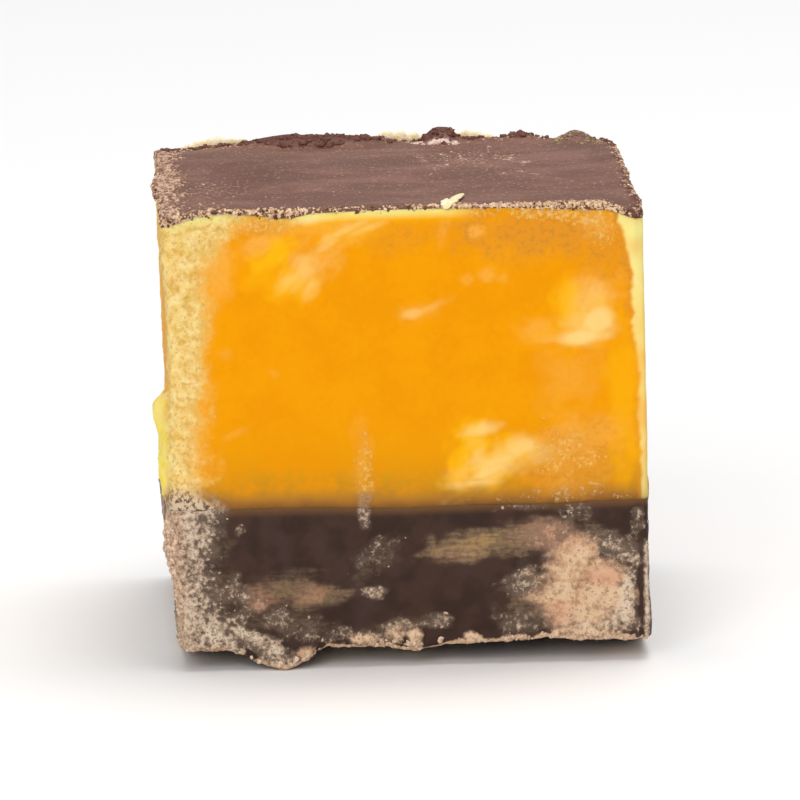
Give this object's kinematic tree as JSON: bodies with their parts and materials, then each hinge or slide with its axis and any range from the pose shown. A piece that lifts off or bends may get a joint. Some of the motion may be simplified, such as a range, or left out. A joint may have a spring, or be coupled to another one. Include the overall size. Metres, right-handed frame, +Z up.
{
  "type": "layered fudge cube",
  "caption": "Cut cube of layered fudge: dark chocolate fudge base, thick orange fudge layer and a thin chocolate skin, with a smeared burr under its front edge.",
  "frame": {"origin": "middle of the bounding box's underside, on the surface that the cube rests on", "axes": "+Z up through the layers, -Y out of the cut front face that has the burr, +X to the right when facing the front"},
  "size_m": [0.0336, 0.0308, 0.0319],
  "materials": {
    "dark_fudge": "satin dark chocolate fudge, dusty beige where it is crumbly",
    "orange_fudge": "satin orange fudge, pale yellow where it is smeared or crumbly",
    "chocolate_skin": "satin milk chocolate with a dull bloom"
  },
  "bodies": {
    "root": {"dark_base": "dark_fudge", "orange_layer": "orange_fudge", "chocolate_top": "chocolate_skin"}
  },
  "joints": []
}
